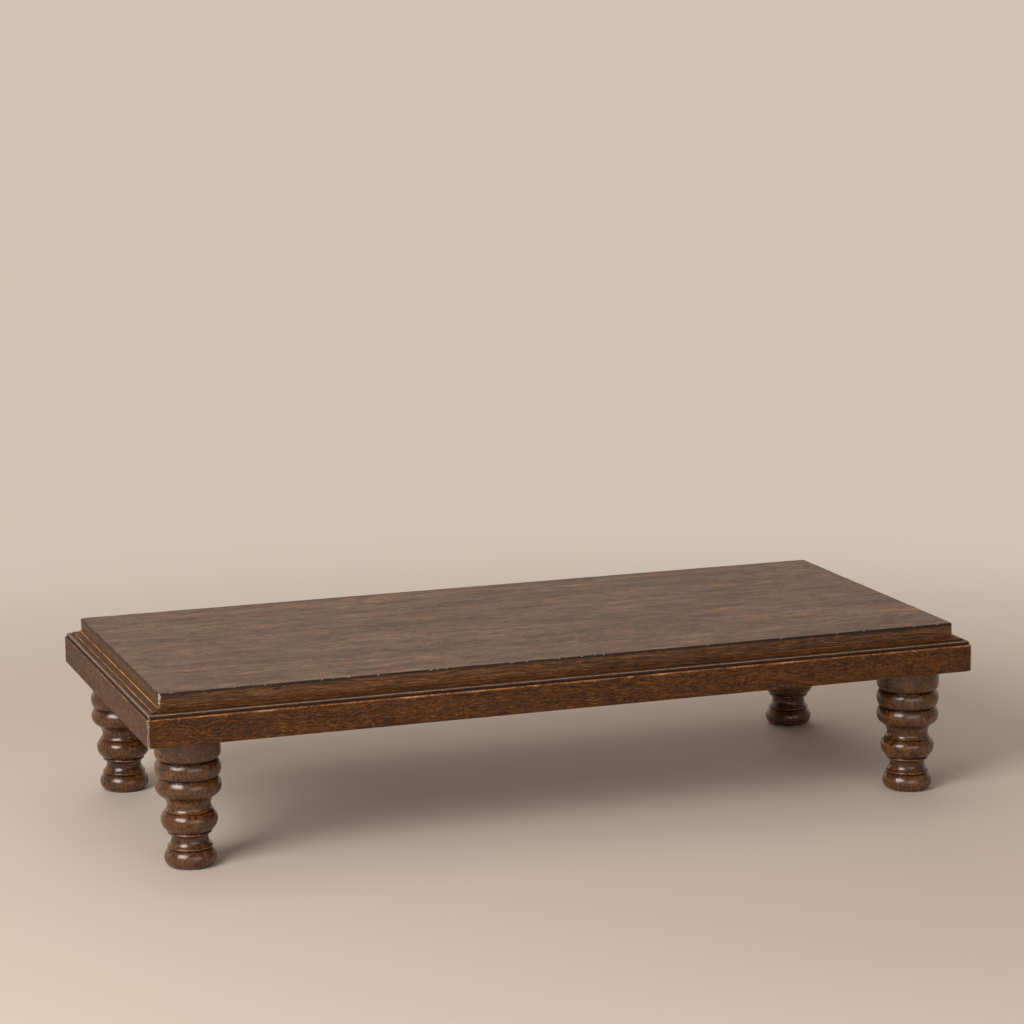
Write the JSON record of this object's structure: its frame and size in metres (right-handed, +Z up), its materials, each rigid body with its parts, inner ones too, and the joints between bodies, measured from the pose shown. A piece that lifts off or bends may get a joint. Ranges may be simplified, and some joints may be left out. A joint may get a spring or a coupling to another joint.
{
  "type": "low table",
  "caption": "Low rectangular wooden table with a flat boarded top set in from a moulded frame, on short stout turned legs.",
  "frame": {"origin": "on the floor, under the middle of the table", "axes": "+X along the table's length, +Y from its front to its back, +Z up"},
  "size_m": [0.914, 0.425, 0.19],
  "materials": {
    "top_wood": "satin",
    "frame_wood": "worn satin",
    "leg_wood": "worn semi-gloss",
    "inner_wood": "matte, unfinished",
    "wedge_wood": "matte, unfinished",
    "screw_steel": "dull"
  },
  "bodies": {
    "root": {"top_board_front": "top_wood", "top_board_middle": "top_wood", "top_board_back": "top_wood", "board_tongue_front": "inner_wood", "board_tongue_back": "inner_wood", "front_rail": "frame_wood", "back_rail": "frame_wood", "left_rail": "frame_wood", "right_rail": "frame_wood", "leg_front_left": "leg_wood", "tenon_wedge_front_left": "wedge_wood", "corner_block_front_left": "inner_wood", "mitre_spline_front_left": "inner_wood", "block_screws_front_left": "screw_steel", "leg_front_right": "leg_wood", "tenon_wedge_front_right": "wedge_wood", "corner_block_front_right": "inner_wood", "mitre_spline_front_right": "inner_wood", "block_screws_front_right": "screw_steel", "leg_back_right": "leg_wood", "tenon_wedge_back_right": "wedge_wood", "corner_block_back_right": "inner_wood", "mitre_spline_back_right": "inner_wood", "block_screws_back_right": "screw_steel", "leg_back_left": "leg_wood", "tenon_wedge_back_left": "wedge_wood", "corner_block_back_left": "inner_wood", "mitre_spline_back_left": "inner_wood", "block_screws_back_left": "screw_steel", "cross_batten_left": "inner_wood", "batten_screws_left": "screw_steel", "cross_batten_centre": "inner_wood", "batten_screws_centre": "screw_steel", "cross_batten_right": "inner_wood", "batten_screws_right": "screw_steel"}
  },
  "joints": []
}
